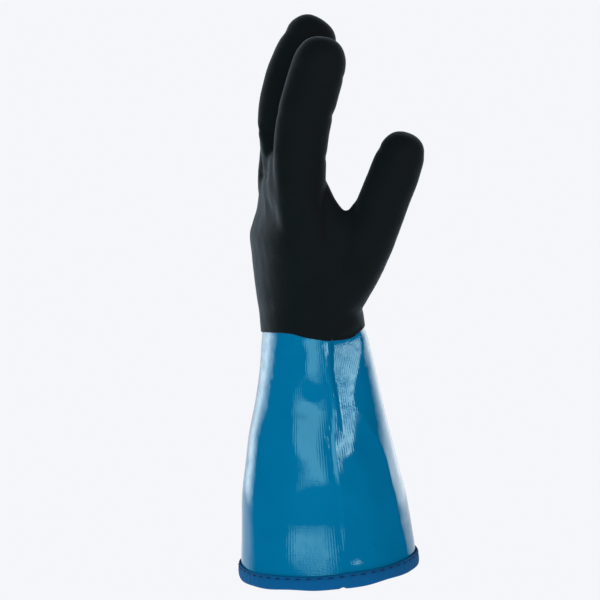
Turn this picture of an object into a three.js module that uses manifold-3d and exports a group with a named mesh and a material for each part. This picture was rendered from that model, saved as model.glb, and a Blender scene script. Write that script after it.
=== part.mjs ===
// A long-cuffed, lined protective glove for the left hand, shaped as it is when worn.
// A soft black hand shell laps over the neck of a glossy blue gauntlet, and a folded
// fabric tape binds the gauntlet's hem.
//
// Millimetres. The origin is the centre of the cuff opening, +Z runs up the forearm to the
// fingertips, the palm faces +X and the thumb side faces -Y.

import * as THREE from "three";
import { mergeVertices } from "three/addons/utils/BufferGeometryUtils.js";
import Module from "manifold-3d";

const wasm = await Module();
wasm.setup();

// Walls and clearances
const HAND_WALL = 2.0; // coat and lining of the hand
const GAUNTLET_WALL = 1.8; // coat and lining of the gauntlet
const TAPE_WALL = 1.1; // the folded hem tape
const GAP = 0.3; // clearance between neighbouring pieces
const LEDGE_GAP = 0.5; // clearance under the hand coat's wavy edge

// Heights
const DIP_LINE = 155; // mean height of the hand coat's lower edge
const LAP = 12; // how far the gauntlet's neck reaches up inside the hand
const NECK_LEAD = 4; // height over which the top of the neck thins
const TAPE_OUTSIDE = 9; // height of the hem tape outside the gauntlet
const TAPE_INSIDE = 8; // and inside it
const TAPE_CORNER = 0.7; // bevel of the tape's two folds
const KNUCKLES = 263; // where the four fingers are parted from the palm
const HEEL_TOP = 205; // where the heel of the hand is parted from the knuckles
const HAND_MIDDLE = 0.8; // Y of the parting between the thumb side's knuckles and the rest
const THUMB_ROOT = 231; // where the thumb is parted from it
const THUMB_SIDE = 14.6; // X beyond which there is only the thumb, above its root
const SLIVER = 0.07; // facets of the hand that stand out less than this are merged

// Mesh density
const DIGIT_SIDES = 16;
const DIGIT_STEPS = 8; // sections along a digit below its rounded tip
const TIP_STEPS = 3; // sections in a rounded tip
const PALM_SIDES = 36;
const PALM_STEPS = 8;
const GAUNTLET_SIDES = 54;
const GAUNTLET_STEPS = 8;

// Sections of the palm. z is a section's height, back and front its X limits, radial and
// ulnar its Y limits, power how squared its outline is (2 is an ellipse), arch how far the
// middle of the section bows towards the back of the hand, and tilt how far its ulnar edge
// is swung towards the palm side.
const PALM = [
  { z: 140, back: -30.6, front: 32.0, radial: -36.5, ulnar: 36.5, power: 2.2, arch: 0, tilt: 0 },
  { z: 160, back: -30.6, front: 31.0, radial: -37.0, ulnar: 37.0, power: 2.2, arch: 0, tilt: 0 },
  { z: 180, back: -30.5, front: 29.0, radial: -41.5, ulnar: 42.5, power: 2.3, arch: 1, tilt: 1 },
  { z: 200, back: -30.0, front: 23.5, radial: -46.5, ulnar: 48.0, power: 2.4, arch: 2, tilt: 3 },
  { z: 218, back: -28.5, front: 16.5, radial: -49.5, ulnar: 50.5, power: 2.5, arch: 3, tilt: 5 },
  { z: 235, back: -23.5, front: 11.0, radial: -51.0, ulnar: 51.0, power: 2.6, arch: 3, tilt: 7 },
  { z: 250, back: -19.0, front: 9.0, radial: -50.5, ulnar: 49.0, power: 2.6, arch: 3, tilt: 7 },
  { z: 262, back: -17.0, front: 6.5, radial: -50.0, ulnar: 48.0, power: 2.6, arch: 3, tilt: 7 },
];
const PALM_ROUNDING = 13; // height over which the top of the palm closes

// Sections of the gauntlet, in the same columns.
const GAUNTLET = [
  { z: 0, back: -55.2, front: 55.0, radial: -51.0, ulnar: 51.0, power: 2, arch: 0, tilt: 0 },
  { z: 30, back: -52.5, front: 50.3, radial: -49.0, ulnar: 49.0, power: 2, arch: 0, tilt: 0 },
  { z: 50, back: -50.4, front: 48.6, radial: -47.0, ulnar: 47.0, power: 2, arch: 0, tilt: 0 },
  { z: 70, back: -46.7, front: 45.7, radial: -44.8, ulnar: 44.8, power: 2, arch: 0, tilt: 0 },
  { z: 90, back: -43.2, front: 42.0, radial: -42.2, ulnar: 42.2, power: 2.05, arch: 0, tilt: 0 },
  { z: 110, back: -38.0, front: 39.0, radial: -39.6, ulnar: 39.6, power: 2.1, arch: 0, tilt: 0 },
  { z: 130, back: -33.7, front: 35.9, radial: -37.6, ulnar: 37.6, power: 2.15, arch: 0, tilt: 0 },
  { z: 150, back: -30.6, front: 32.4, radial: -36.7, ulnar: 36.7, power: 2.2, arch: 0, tilt: 0 },
  { z: 165, back: -30.6, front: 31.5, radial: -37.0, ulnar: 37.0, power: 2.25, arch: 0, tilt: 0 },
];

// Folds of the gauntlet. Each is a ridge (depth above 0) or a valley (below 0) that runs from
// the angle top at the height high to the angle foot at the height low. Angles are degrees
// about +Z from +X.
const FOLDS = [
  { top: -81, foot: -86, high: 154, low: 16, width: 9, depth: -3.0 },
  { top: -95, foot: -92, high: 150, low: 6, width: 7, depth: 1.6 },
  { top: -68, foot: -36, high: 138, low: 20, width: 10, depth: 2.4 },
  { top: -50, foot: -20, high: 150, low: 50, width: 10, depth: -2.2 },
  { top: 30, foot: 40, high: 148, low: 20, width: 14, depth: 2.0 },
  { top: 75, foot: 60, high: 154, low: 40, width: 11, depth: -2.6 },
  { top: 118, foot: 110, high: 152, low: 10, width: 13, depth: 1.8 },
  { top: 200, foot: 214, high: 146, low: 30, width: 14, depth: -1.4 },
];

// The hand coat's lower edge rises and dips by these heights at these angles about +Z.
const DIP_WAVE = [
  { angle: -160, rise: 2.4 },
  { angle: -131, rise: 3.0 },
  { angle: -112, rise: 0.2 },
  { angle: -88, rise: -3.0 },
  { angle: -64, rise: -3.4 },
  { angle: -46, rise: 0.4 },
  { angle: -15, rise: 0.7 },
  { angle: 35, rise: -1.0 },
  { angle: 90, rise: 1.0 },
  { angle: 145, rise: -0.5 },
];

// The digits, and the web of skin between the thumb and the palm. A row is a station of the
// centre line, from the root inside the palm to the tip. wide is the section's size along the
// side axis and thick its size across that.
const ACROSS_PALM = [0, 1, 0];
const FROM_PALM = [1, 0, 0];
const DIGITS = {
  index: {
    side: ACROSS_PALM,
    rounding: 15,
    rows: [
      { x: -12.0, y: -34.0, z: 214, wide: 16.0, thick: 16.0 },
      { x: -14.5, y: -38.5, z: 240, wide: 25.0, thick: 31.0 },
      { x: -13.0, y: -40.0, z: 264, wide: 26.0, thick: 33.5 },
      { x: -9.8, y: -42.0, z: 285, wide: 26.0, thick: 33.5 },
      { x: -4.3, y: -43.5, z: 303, wide: 26.5, thick: 33.5 },
      { x: 1.2, y: -44.8, z: 318, wide: 27.0, thick: 32.5 },
      { x: 4.4, y: -45.5, z: 334, wide: 25.5, thick: 29.0 },
    ],
  },
  middle: {
    side: ACROSS_PALM,
    rounding: 15,
    rows: [
      { x: -12.0, y: -11.5, z: 214, wide: 16.0, thick: 16.0 },
      { x: -13.0, y: -12.5, z: 240, wide: 25.0, thick: 29.5 },
      { x: -12.5, y: -13.0, z: 264, wide: 26.0, thick: 31.0 },
      { x: -12.3, y: -13.6, z: 287, wide: 26.0, thick: 33.0 },
      { x: -6.6, y: -14.0, z: 308, wide: 26.5, thick: 33.0 },
      { x: 3.0, y: -14.4, z: 326, wide: 27.0, thick: 32.5 },
      { x: 13.0, y: -14.8, z: 343, wide: 25.5, thick: 28.5 },
    ],
  },
  ring: {
    side: ACROSS_PALM,
    rounding: 14,
    rows: [
      { x: -8.5, y: 12.0, z: 212, wide: 16.0, thick: 16.0 },
      { x: -8.5, y: 13.2, z: 238, wide: 24.5, thick: 29.5 },
      { x: -5.5, y: 13.8, z: 261, wide: 25.5, thick: 30.5 },
      { x: -1.5, y: 14.6, z: 281, wide: 25.5, thick: 31.5 },
      { x: 4.5, y: 15.3, z: 299, wide: 26.0, thick: 31.5 },
      { x: 11.5, y: 15.8, z: 314, wide: 26.0, thick: 30.5 },
      { x: 18.0, y: 16.0, z: 327, wide: 24.5, thick: 27.5 },
    ],
  },
  little: {
    side: ACROSS_PALM,
    rounding: 13,
    rows: [
      { x: -4.5, y: 34.0, z: 210, wide: 15.0, thick: 14.0 },
      { x: -3.0, y: 38.0, z: 234, wide: 22.5, thick: 26.0 },
      { x: 0.5, y: 40.8, z: 254, wide: 23.5, thick: 27.0 },
      { x: 5.0, y: 43.8, z: 271, wide: 23.5, thick: 27.5 },
      { x: 11.0, y: 46.8, z: 286, wide: 23.5, thick: 27.0 },
      { x: 17.0, y: 49.5, z: 299, wide: 22.0, thick: 25.0 },
    ],
  },
  thumb: {
    side: FROM_PALM,
    rounding: 14,
    rows: [
      { x: 4.0, y: -12.0, z: 163, wide: 42.0, thick: 32.0 },
      { x: 11.5, y: -27.0, z: 182, wide: 38.0, thick: 36.0 },
      { x: 20.5, y: -38.5, z: 200, wide: 35.0, thick: 33.0 },
      { x: 28.0, y: -47.5, z: 218, wide: 31.0, thick: 29.5 },
      { x: 34.8, y: -54.0, z: 236, wide: 29.0, thick: 27.5 },
      { x: 41.5, y: -59.0, z: 254, wide: 28.5, thick: 27.0 },
      { x: 48.5, y: -62.5, z: 273.5, wide: 25.5, thick: 25.0 },
    ],
  },
  web: {
    side: [0, 0, 1],
    rounding: 6,
    rows: [
      { x: -14.0, y: -30.0, z: 205, wide: 64.0, thick: 20.0 },
      { x: -5.0, y: -36.5, z: 205, wide: 80.0, thick: 20.0 },
      { x: 2.0, y: -40.0, z: 205, wide: 74.0, thick: 18.0 },
      { x: 8.0, y: -42.5, z: 205, wide: 55.0, thick: 16.5 },
      { x: 14.0, y: -45.0, z: 205, wide: 51.0, thick: 15.0 },
      { x: 22.0, y: -48.0, z: 205, wide: 44.0, thick: 12.0 },
    ],
  },
};

const RADIANS = Math.PI / 180;

// Value at share t of the way from b to c of a smooth curve through a, b, c and d.
function catmullRom(a, b, c, d, t) {
  const slopeB = (c - a) / 2;
  const slopeC = (d - b) / 2;
  return (
    (2 * b - 2 * c + slopeB + slopeC) * t ** 3 +
    (3 * c - 3 * b - 2 * slopeB - slopeC) * t ** 2 +
    slopeB * t +
    b
  );
}

// A table's columns at row number s, which may lie between two rows.
function sampleRow(rows, s) {
  const last = rows.length - 1;
  const i = Math.min(Math.max(Math.floor(s), 0), last - 1);
  const pick = (k) => rows[Math.min(Math.max(k, 0), last)];
  const sampled = {};
  for (const column of Object.keys(rows[0])) {
    const four = [i - 1, i, i + 1, i + 2].map((k) => pick(k)[column]);
    sampled[column] = catmullRom(...four, s - i);
  }
  return sampled;
}

// The row number at which a table's z column reaches a height.
function rowAtHeight(rows, z) {
  let i = 0;
  while (i < rows.length - 2 && z > rows[i + 1].z) i += 1;
  return i + (z - rows[i].z) / (rows[i + 1].z - rows[i].z);
}

// Evenly spaced directions about an axis, in radians.
const turnsOf = (sides) => Array.from({ length: sides }, (_, k) => (k / sides) * 360 * RADIANS);

// How much of its full size a section keeps at a share t, 0 to 1, of a rounded end.
const roundedShare = (t) => Math.sqrt(Math.max(0, 1 - t * t));

// Shares of a rounded end, packed towards its tip, where it curves most.
const TIP_SHARES = Array.from({ length: TIP_STEPS }, (_, k) =>
  Math.sin(((k + 1) / (TIP_STEPS + 0.35)) * 90 * RADIANS),
);

function bufferGeometry(points, index) {
  const geometry = new THREE.BufferGeometry();
  geometry.setFromPoints(points);
  geometry.setIndex(index);
  return geometry;
}

// The surface through rings of points, closed at both ends.
function loftRings(rings) {
  const sides = rings[0].length;
  const points = rings.flat();
  const index = [];
  for (let r = 0; r + 1 < rings.length; r += 1) {
    for (let k = 0; k < sides; k += 1) {
      const a = r * sides + k;
      const b = r * sides + ((k + 1) % sides);
      index.push(a, b, b + sides, a, b + sides, a + sides);
    }
  }
  const foot = rings[0];
  const top = rings[rings.length - 1];
  for (const ring of [foot, top]) {
    const middle = ring.reduce((sum, p) => sum.add(p), new THREE.Vector3());
    const hub = points.push(middle.divideScalar(sides)) - 1;
    const first = ring === foot ? 0 : (rings.length - 1) * sides;
    for (let k = 0; k < sides; k += 1) {
      const a = first + k;
      const b = first + ((k + 1) % sides);
      index.push(...(ring === foot ? [hub, b, a] : [hub, a, b]));
    }
  }
  return bufferGeometry(points, index);
}

// A closed wall round the Z axis, from one closed profile of points for each direction.
function wallFromProfiles(profiles) {
  const size = profiles[0].length;
  const index = [];
  for (let c = 0; c < profiles.length; c += 1) {
    const next = (c + 1) % profiles.length;
    for (let k = 0; k < size; k += 1) {
      const a = c * size + k;
      const b = c * size + ((k + 1) % size);
      const d = next * size + k;
      const e = next * size + ((k + 1) % size);
      index.push(a, d, e, a, e, b);
    }
  }
  return bufferGeometry(profiles.flat(), index);
}

// A geometry as a solid that can be joined and cut, and back.
function toSolid(geometry) {
  const merged = mergeVertices(geometry, 1e-4);
  const vertProperties = merged.attributes.position.array;
  const triVerts = new Uint32Array(merged.index.array);
  return new wasm.Manifold(new wasm.Mesh({ numProp: 3, vertProperties, triVerts }));
}

function toGeometry(solid) {
  const mesh = solid.getMesh();
  const geometry = new THREE.BufferGeometry();
  geometry.setAttribute("position", new THREE.BufferAttribute(mesh.vertProperties, 3));
  geometry.setIndex(new THREE.BufferAttribute(mesh.triVerts, 1));
  return geometry;
}

// A point of a section table's outline at height z in the direction turn, taken in by inset
// and shrunk to share of its size.
function sectionPoint(rows, z, turn, inset = 0, share = 1) {
  const at = sampleRow(rows, rowAtHeight(rows, z));
  const squared = (v) => Math.sign(v) * Math.abs(v) ** (2 / at.power);
  const across = squared(Math.cos(turn)) * share;
  const along = squared(Math.sin(turn)) * share;
  const x = (at.front + at.back) / 2 + ((at.front - at.back) / 2 - inset) * across;
  const y = (at.ulnar + at.radial) / 2 + ((at.ulnar - at.radial) / 2 - inset) * along;
  return new THREE.Vector3(x - at.arch * (1 - along * along) + at.tilt * along, y, z);
}

// Height of the hand coat's lower edge in the direction turn.
function dipHeight(turn) {
  const rim = sectionPoint(PALM, DIP_LINE, turn);
  const count = DIP_WAVE.length;
  const start = DIP_WAVE[0].angle;
  const wrap = (angle) => start + ((((angle - start) % 360) + 360) % 360);
  const angle = wrap(Math.atan2(rim.y, rim.x) / RADIANS);
  let i = count - 1;
  while (DIP_WAVE[i].angle > angle) i -= 1;
  const pick = (k) => DIP_WAVE[(k + count) % count];
  const span = i === count - 1 ? 360 + start - DIP_WAVE[i].angle : pick(i + 1).angle - pick(i).angle;
  const four = [i - 1, i, i + 1, i + 2].map((k) => pick(k).rise);
  return DIP_LINE + catmullRom(...four, (angle - DIP_WAVE[i].angle) / span);
}

// One ring of a digit: an oval across its centre line at row number s.
function digitRing(digit, s, inset, share) {
  const at = sampleRow(digit.rows, s);
  const before = sampleRow(digit.rows, s - 0.02);
  const after = sampleRow(digit.rows, s + 0.02);
  const along = new THREE.Vector3(after.x - before.x, after.y - before.y, after.z - before.z);
  along.normalize();
  const side = new THREE.Vector3(...digit.side);
  side.addScaledVector(along, -side.dot(along)).normalize();
  const across = new THREE.Vector3().crossVectors(along, side);
  return turnsOf(DIGIT_SIDES).map((turn) =>
    new THREE.Vector3(at.x, at.y, at.z)
      .addScaledVector(side, (at.wide / 2 - inset) * share * Math.cos(turn))
      .addScaledVector(across, (at.thick / 2 - inset) * share * Math.sin(turn)),
  );
}

// A digit with a rounded tip, taken in by inset all over.
function digitSolid(digit, inset) {
  const last = digit.rows.length - 1;
  const [before, end] = digit.rows.slice(-2);
  const lastLength = Math.hypot(end.x - before.x, end.y - before.y, end.z - before.z);
  const tip = last - inset / lastLength;
  const shoulder = tip - (digit.rounding - inset) / lastLength;
  const rings = [];
  for (let k = 0; k <= DIGIT_STEPS; k += 1) {
    rings.push(digitRing(digit, (shoulder * k) / DIGIT_STEPS, inset, 1));
  }
  for (const t of TIP_SHARES) {
    rings.push(digitRing(digit, shoulder + (tip - shoulder) * t, inset, roundedShare(t)));
  }
  return toSolid(loftRings(rings));
}

// The palm, taken in by inset. Its foot lies below the hand coat's lower edge by drop.
function palmSolid(inset, drop) {
  const top = PALM[PALM.length - 1].z - inset;
  const shoulder = top - (PALM_ROUNDING - inset);
  const turns = turnsOf(PALM_SIDES);
  const rings = [];
  for (let k = 0; k <= PALM_STEPS; k += 1) {
    rings.push(
      turns.map((turn) => {
        const foot = dipHeight(turn) - drop;
        return sectionPoint(PALM, foot + ((shoulder - foot) * k) / PALM_STEPS, turn, inset);
      }),
    );
  }
  for (const t of TIP_SHARES) {
    const z = shoulder + (top - shoulder) * t;
    rings.push(turns.map((turn) => sectionPoint(PALM, z, turn, inset, roundedShare(t))));
  }
  return toSolid(loftRings(rings));
}

// The hand: palm and digits joined, then hollowed by the same shapes one wall smaller. It
// is parted where the digits leave the palm, above the heel, and between the knuckles of
// its two sides, so that each piece is a plain open shell.
function makeHand() {
  const join = (inset, drop) => {
    const palm = palmSolid(inset, drop);
    return Object.values(DIGITS).reduce((sum, digit) => sum.add(digitSolid(digit, inset)), palm);
  };
  const whole = join(0, 0).subtract(join(HAND_WALL, LAP)).simplify(SLIVER);
  const lowestY = (solid) => solid.boundingBox().min[1];
  const piecesAbove = (z) =>
    whole
      .trimByPlane([0, 0, 1], z + GAP / 2)
      .decompose()
      .sort((a, b) => lowestY(a) - lowestY(b));
  const [thumb] = piecesAbove(THUMB_ROOT);
  const [, index, middle, ring, little] = piecesAbove(KNUCKLES);
  const reach = KNUCKLES;
  const thumbRoom = wasm.Manifold.cube([reach, 2 * reach, reach]).translate([
    THUMB_SIDE,
    -reach,
    THUMB_ROOT - GAP / 2,
  ]);
  const palm = whole.trimByPlane([0, 0, -1], GAP / 2 - KNUCKLES).subtract(thumbRoom);
  const knuckles = palm.trimByPlane([0, 0, 1], HEEL_TOP + GAP / 2);
  return {
    heel: palm.trimByPlane([0, 0, -1], GAP / 2 - HEEL_TOP),
    radial_knuckles: knuckles.trimByPlane([0, -1, 0], GAP / 2 - HAND_MIDDLE),
    ulnar_knuckles: knuckles.trimByPlane([0, 1, 0], GAP / 2 + HAND_MIDDLE),
    thumb,
    index_finger: index,
    middle_finger: middle,
    ring_finger: ring,
    little_finger: little,
  };
}

// How far the folds raise or sink the gauntlet at height z in the direction turn.
function foldRise(z, turn, radius) {
  let rise = 0;
  for (const fold of FOLDS) {
    const t = (fold.high - z) / (fold.high - fold.low);
    if (t <= 0 || t >= 1) continue;
    const angle = fold.top + (fold.foot - fold.top) * t;
    const off = ((((turn / RADIANS - angle) % 360) + 540) % 360) - 180;
    const distance = off * RADIANS * radius;
    rise += fold.depth * Math.sin(180 * RADIANS * t) ** 0.7 * Math.exp(-((distance / fold.width) ** 2));
  }
  return rise;
}

// A point of the gauntlet's wall, taken in by inset from its outer face.
function gauntletPoint(z, turn, inset) {
  const at = sectionPoint(GAUNTLET, z, turn, inset);
  const radius = Math.hypot(at.x, at.y);
  const rise = foldRise(z, turn, radius);
  return new THREE.Vector3(at.x * (1 + rise / radius), at.y * (1 + rise / radius), z);
}

// The gauntlet: a flared sleeve whose neck steps in to pass up inside the hand.
function makeGauntlet() {
  const foot = TAPE_WALL + GAP;
  const neckInset = HAND_WALL + GAP;
  return wallFromProfiles(
    turnsOf(GAUNTLET_SIDES).map((turn) => {
      const step = dipHeight(turn) - LEDGE_GAP;
      const crown = dipHeight(turn) + LAP;
      const bend = step - 2 * NECK_LEAD;
      const profile = [];
      for (let k = 0; k <= GAUNTLET_STEPS; k += 1) {
        profile.push(gauntletPoint(foot + ((step - foot) * k) / GAUNTLET_STEPS, turn, 0));
      }
      profile.push(sectionPoint(PALM, step + 0.01, turn, neckInset));
      profile.push(sectionPoint(PALM, crown - NECK_LEAD, turn, neckInset));
      profile.push(sectionPoint(PALM, crown, turn, neckInset + GAUNTLET_WALL / 3));
      profile.push(sectionPoint(PALM, crown, turn, neckInset + GAUNTLET_WALL));
      profile.push(sectionPoint(PALM, step, turn, neckInset + GAUNTLET_WALL));
      for (let k = GAUNTLET_STEPS; k >= 0; k -= 1) {
        profile.push(gauntletPoint(foot + ((bend - foot) * k) / GAUNTLET_STEPS, turn, GAUNTLET_WALL));
      }
      return profile;
    }),
  );
}

// The hem tape: folded round the gauntlet's foot, one leg outside and one inside.
function makeHemBinding() {
  const face = TAPE_WALL + GAP;
  const inside = GAUNTLET_WALL + GAP;
  const rows = [
    { z: TAPE_CORNER, inset: -face },
    { z: TAPE_OUTSIDE - TAPE_CORNER, inset: -face },
    { z: TAPE_OUTSIDE, inset: -face + TAPE_CORNER },
    { z: TAPE_OUTSIDE, inset: -GAP },
    { z: TAPE_WALL, inset: -GAP },
    { z: TAPE_WALL, inset: inside },
    { z: TAPE_INSIDE, inset: inside },
    { z: TAPE_INSIDE, inset: inside + TAPE_WALL },
    { z: TAPE_CORNER, inset: inside + TAPE_WALL },
    { z: 0, inset: inside + TAPE_WALL - TAPE_CORNER },
    { z: 0, inset: -face + TAPE_CORNER },
  ];
  return wallFromProfiles(
    turnsOf(GAUNTLET_SIDES).map((turn) => rows.map((row) => gauntletPoint(row.z, turn, row.inset))),
  );
}

function named(name, geometry, color, roughness) {
  const mesh = new THREE.Mesh(
    geometry,
    new THREE.MeshStandardMaterial({ color, roughness, metalness: 0 }),
  );
  mesh.name = name;
  return mesh;
}

const glove = new THREE.Group();
for (const [name, solid] of Object.entries(makeHand())) {
  glove.add(named(name, toGeometry(solid), 0x14191c, 0.85));
}
glove.add(named("gauntlet", makeGauntlet(), 0x0a6fa3, 0.25));
glove.add(named("hem_binding", makeHemBinding(), 0x164f9c, 0.8));

export default glove;
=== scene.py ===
"""The looks of a long-cuffed, lined protective glove for the left hand, worn upright.

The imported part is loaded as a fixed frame, and four pieces are made in its place: the soft
black hand coat, the glossy ribbed gauntlet, the tape folded round its hem, and the
stitches that hold the tape. Sizes and tables are in millimetres and degrees, the meshes
and the studio in metres. The palm faces +X and the thumb side faces -Y.
"""

import logging
import math
from contextlib import contextmanager
from dataclasses import astuple, dataclass
from enum import Enum
from typing import Any, Callable, Iterator, Sequence

import bmesh
import bpy
import numpy as np
from mathutils import Matrix, Vector


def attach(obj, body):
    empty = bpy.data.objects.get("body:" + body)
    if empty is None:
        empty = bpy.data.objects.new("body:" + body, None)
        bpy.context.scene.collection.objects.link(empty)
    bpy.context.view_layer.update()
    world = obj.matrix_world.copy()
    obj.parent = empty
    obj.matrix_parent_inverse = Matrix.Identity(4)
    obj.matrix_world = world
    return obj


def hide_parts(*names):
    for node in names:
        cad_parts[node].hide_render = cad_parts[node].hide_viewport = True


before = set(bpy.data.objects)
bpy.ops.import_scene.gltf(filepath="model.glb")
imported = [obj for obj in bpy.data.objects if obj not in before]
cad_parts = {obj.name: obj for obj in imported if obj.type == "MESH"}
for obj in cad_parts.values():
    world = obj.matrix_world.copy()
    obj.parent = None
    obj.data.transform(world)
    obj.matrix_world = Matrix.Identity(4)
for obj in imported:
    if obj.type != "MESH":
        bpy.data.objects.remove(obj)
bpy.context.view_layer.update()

log = logging.getLogger("glove")

MM = 0.001
BODY = "root"

HAND_WALL = 2.0
GAUNTLET_WALL = 1.8
TAPE_WALL = 1.1
GAP = 0.3
DIP_LINE = 152.5
LAP = 12.0
PALM_ROUNDING = 13.0

POLE_WELD = 0.01
SEAM_WELD = 0.001
WEIGHT_STEPS = 40
WARM = (1.0, 0.66, 0.67)
WHITE = (1.0, 1.0, 1.0)

HAND_NODES = (
    "heel",
    "radial_knuckles",
    "ulnar_knuckles",
    "thumb",
    "index_finger",
    "middle_finger",
    "ring_finger",
    "little_finger",
)

Triple = tuple[float, float, float]


class Face(Enum):
    """Which face of a wall a finish is laid on, as the number of its material slot."""

    OUTER = 0
    INNER = 1


class Part(Enum):
    """What is selected in edit mode, with the name of its list in a mesh."""

    VERT = "verts"
    EDGE = "edges"
    FACE = "faces"


class MixSocket(Enum):
    """The numbers of a Mix node's sockets where it mixes colours."""

    FACTOR = 0
    LOW = 6
    HIGH = 7
    RESULT = 2


class SideAxis(Enum):
    """The direction that a digit's wide size is measured along."""

    ACROSS_PALM = (0.0, 1.0, 0.0)
    FROM_PALM = (1.0, 0.0, 0.0)
    UPRIGHT = (0.0, 0.0, 1.0)


@dataclass(frozen=True)
class Section:
    """One level outline of the palm or the gauntlet, in millimetres.

    power is how squared the outline is, arch how far its middle bows towards the back of
    the hand, and tilt how far its ulnar edge is swung towards the palm side.
    """

    z: float
    back: float
    front: float
    radial: float
    ulnar: float
    power: float
    arch: float = 0.0
    tilt: float = 0.0


@dataclass(frozen=True)
class Station:
    """One place on a digit's centre line with the sizes of its oval section."""

    x: float
    y: float
    z: float
    wide: float
    thick: float


@dataclass(frozen=True)
class Fold:
    """A ridge (depth above 0) or valley (below 0) that runs down the gauntlet.

    path holds heights in millimetres and directions in degrees, from its top to its foot.
    left and right are its widths to either side, clockwise and anticlockwise from above. A
    crest of 2 is soft and 1 is sharp.
    """

    path: tuple[tuple[float, float], ...]
    left: float
    right: float
    depth: float
    crest: float = 2.0


@dataclass(frozen=True)
class FacetRow:
    """One height of the flat facet between the sleeve's two creases.

    left and right are the directions of the creases, low is how deep the left one lies and
    high how far the right one stands out.
    """

    z: float
    left: float
    right: float
    low: float
    high: float


@dataclass(frozen=True)
class Swell:
    """A round bulge (depth above 0) or hollow (below 0) in the gauntlet.

    z and turn are the place of its middle, height and width how far it reaches.
    """

    z: float
    turn: float
    height: float
    width: float
    depth: float


@dataclass(frozen=True)
class Wrinkle:
    """A groove (depth below 0) or a swelling (above 0) along a line on the hand."""

    start: Triple
    end: Triple
    width: float
    depth: float


@dataclass(frozen=True)
class Unevenness:
    """A soft irregular swell of a surface, with its depth and pitch in millimetres."""

    depth: float
    pitch: float
    seed: float


@dataclass(frozen=True)
class Wave:
    """How far the hand coat's lower edge rises at an angle about +Z."""

    angle: float
    rise: float


@dataclass(frozen=True)
class RingWave:
    """A wave of an edge that repeats a whole number of times round the hem."""

    depth: float
    times: int
    phase: float

    def at(self, turn: np.ndarray) -> np.ndarray:
        """How far it moves the edge at directions in radians."""
        return self.depth * np.sin(self.times * turn + self.phase)


PALM = (
    Section(140, -30.6, 32.0, -36.5, 36.5, 2.2, 0, 0),
    Section(160, -30.6, 31.0, -37.0, 37.0, 2.2, 0, 0),
    Section(180, -30.5, 29.0, -41.5, 42.5, 2.3, 1, 1),
    Section(200, -30.0, 23.5, -46.5, 48.0, 2.4, 2, 3),
    Section(212, -29.4, 18.5, -48.8, 50.0, 2.5, 3, 4),
    Section(218, -27.6, 16.5, -49.5, 50.5, 2.5, 3, 5),
    Section(226, -24.3, 13.8, -50.4, 50.9, 2.6, 3, 6),
    Section(235, -22.6, 11.0, -51.0, 51.0, 2.6, 3, 7),
    Section(250, -21.2, 9.0, -50.5, 49.0, 2.6, 3, 7),
    Section(262, -19.8, 6.5, -50.0, 48.0, 2.6, 3, 7),
)

GAUNTLET = (
    Section(0, -55.2, 55.0, -51.0, 51.0, 2.0),
    Section(30, -52.5, 50.3, -49.0, 49.0, 2.0),
    Section(50, -50.4, 48.6, -47.0, 47.0, 2.0),
    Section(70, -46.7, 45.7, -44.8, 44.8, 2.0),
    Section(90, -43.2, 42.0, -42.2, 42.2, 2.05),
    Section(110, -38.0, 39.0, -39.6, 39.6, 2.1),
    Section(130, -33.7, 35.9, -37.6, 37.6, 2.15),
    Section(150, -30.6, 32.4, -36.7, 36.7, 2.2),
    Section(165, -30.6, 31.5, -37.0, 37.0, 2.25),
)

FACET = (
    FacetRow(156, -88, -46, 1.6, 0.1),
    FacetRow(147, -88.8, -50, 3.3, 0.3),
    FacetRow(138, -91.4, -58, 3.0, 0.5),
    FacetRow(129, -91.5, -65.6, 2.5, 0.35),
    FacetRow(121, -90.5, -71.8, 2.1, -0.3),
    FacetRow(112, -89.2, -75.8, 1.5, -0.42),
    FacetRow(103, -88.0, -76.0, 0.85, -0.05),
    FacetRow(95, -87.9, -77.8, 0.6, 0.15),
    FacetRow(89, -88.4, -79.5, 0.35, 0.1),
    FacetRow(82, -90.0, -86.0, 0.0, 0.0),
)

FOLDS = (
    # The valley and the long ridge that run down the side that is seen
    Fold(
        ((142, -103), (121, -98.5), (107, -95.5), (84, -98), (43, -95.5), (20, -95.5)),
        5, 1.4, -0.35, 1.3,
    ),
    Fold(
        ((142, -100), (121, -95), (107, -92.4), (84, -95), (43, -93), (20, -93)),
        1.3, 1.3, 0.5, 1.6,
    ),
    # The ridge that slants down from the facet
    Fold(
        (
            (113, -74.5), (104, -69), (96, -63.5), (85, -55), (74, -51), (63, -50),
            (52, -49.5), (41, -48.5), (30, -46.5), (18, -44), (6, -42),
        ),
        6, 8, 2.0, 1.15,
    ),
    # Two broad folds between the long ridge and the back of the hand
    Fold(
        ((160, -115), (149, -115.5), (136, -115), (127, -112), (119, -108), (108, -103)),
        7, 24, 1.4,
    ),
    Fold(((122, -160), (104, -142), (90, -129), (79, -118), (66, -108), (50, -98)), 13, 22, 1.4),
    # The palm side and the little-finger side
    Fold(((150, 30), (90, 36), (20, 40)), 14, 14, 2.0),
    Fold(((154, 75), (100, 68), (40, 60)), 8, 12, -2.6, 1.5),
    Fold(((152, 118), (90, 114), (10, 110)), 13, 13, 1.8),
    # The back of the hand
    Fold(((148, 158), (120, 154), (88, 150)), 3, 6, -1.0, 1.2),
    Fold(((146, 200), (90, 207), (30, 214)), 14, 14, -1.4),
)

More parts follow.
